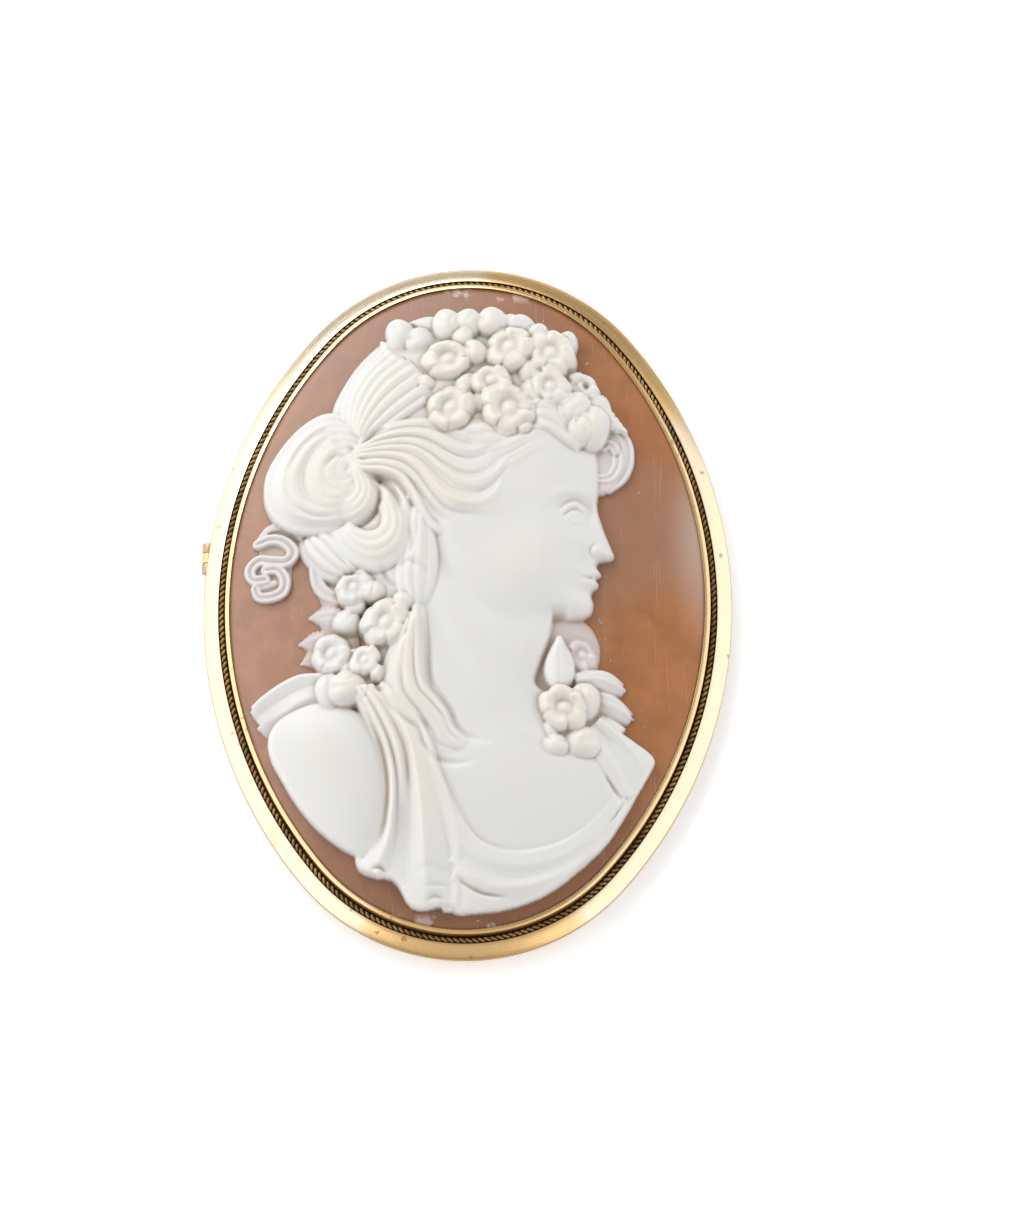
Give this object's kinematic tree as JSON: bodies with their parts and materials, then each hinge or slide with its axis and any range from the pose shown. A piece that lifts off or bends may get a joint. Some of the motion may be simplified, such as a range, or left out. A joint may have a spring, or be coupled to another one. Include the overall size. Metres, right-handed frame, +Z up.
{
  "type": "cameo brooch",
  "caption": "Oval shell cameo brooch: a woman's bust in profile with flowers in relief, in a gold-coloured mount with a bevelled flange, a twisted wire and a back pin.",
  "frame": {"origin": "on the table under the middle of the oval mount, which lies face up on its back rim", "axes": "+Y runs along the length of the oval to the top of the head, +X to the side the head looks at, and +Z up out of the carved face"},
  "size_m": [0.0459, 0.062, 0.0084],
  "materials": {
    "mount_metal": "polished yellow gold with fine scratches",
    "dark_wire": "oxidised twisted wire with worn bright ridges",
    "brown_shell": "polished brown shell layer, warm and slightly translucent",
    "white_shell": "carved white shell layer, satin, grey where it is thin",
    "pin_metal": "polished yellow gold"
  },
  "bodies": {
    "root": {"frame": "mount_metal", "rope_wire": "dark_wire", "shell_ground": "brown_shell", "shell_relief": "white_shell", "pin": "pin_metal"}
  },
  "joints": []
}
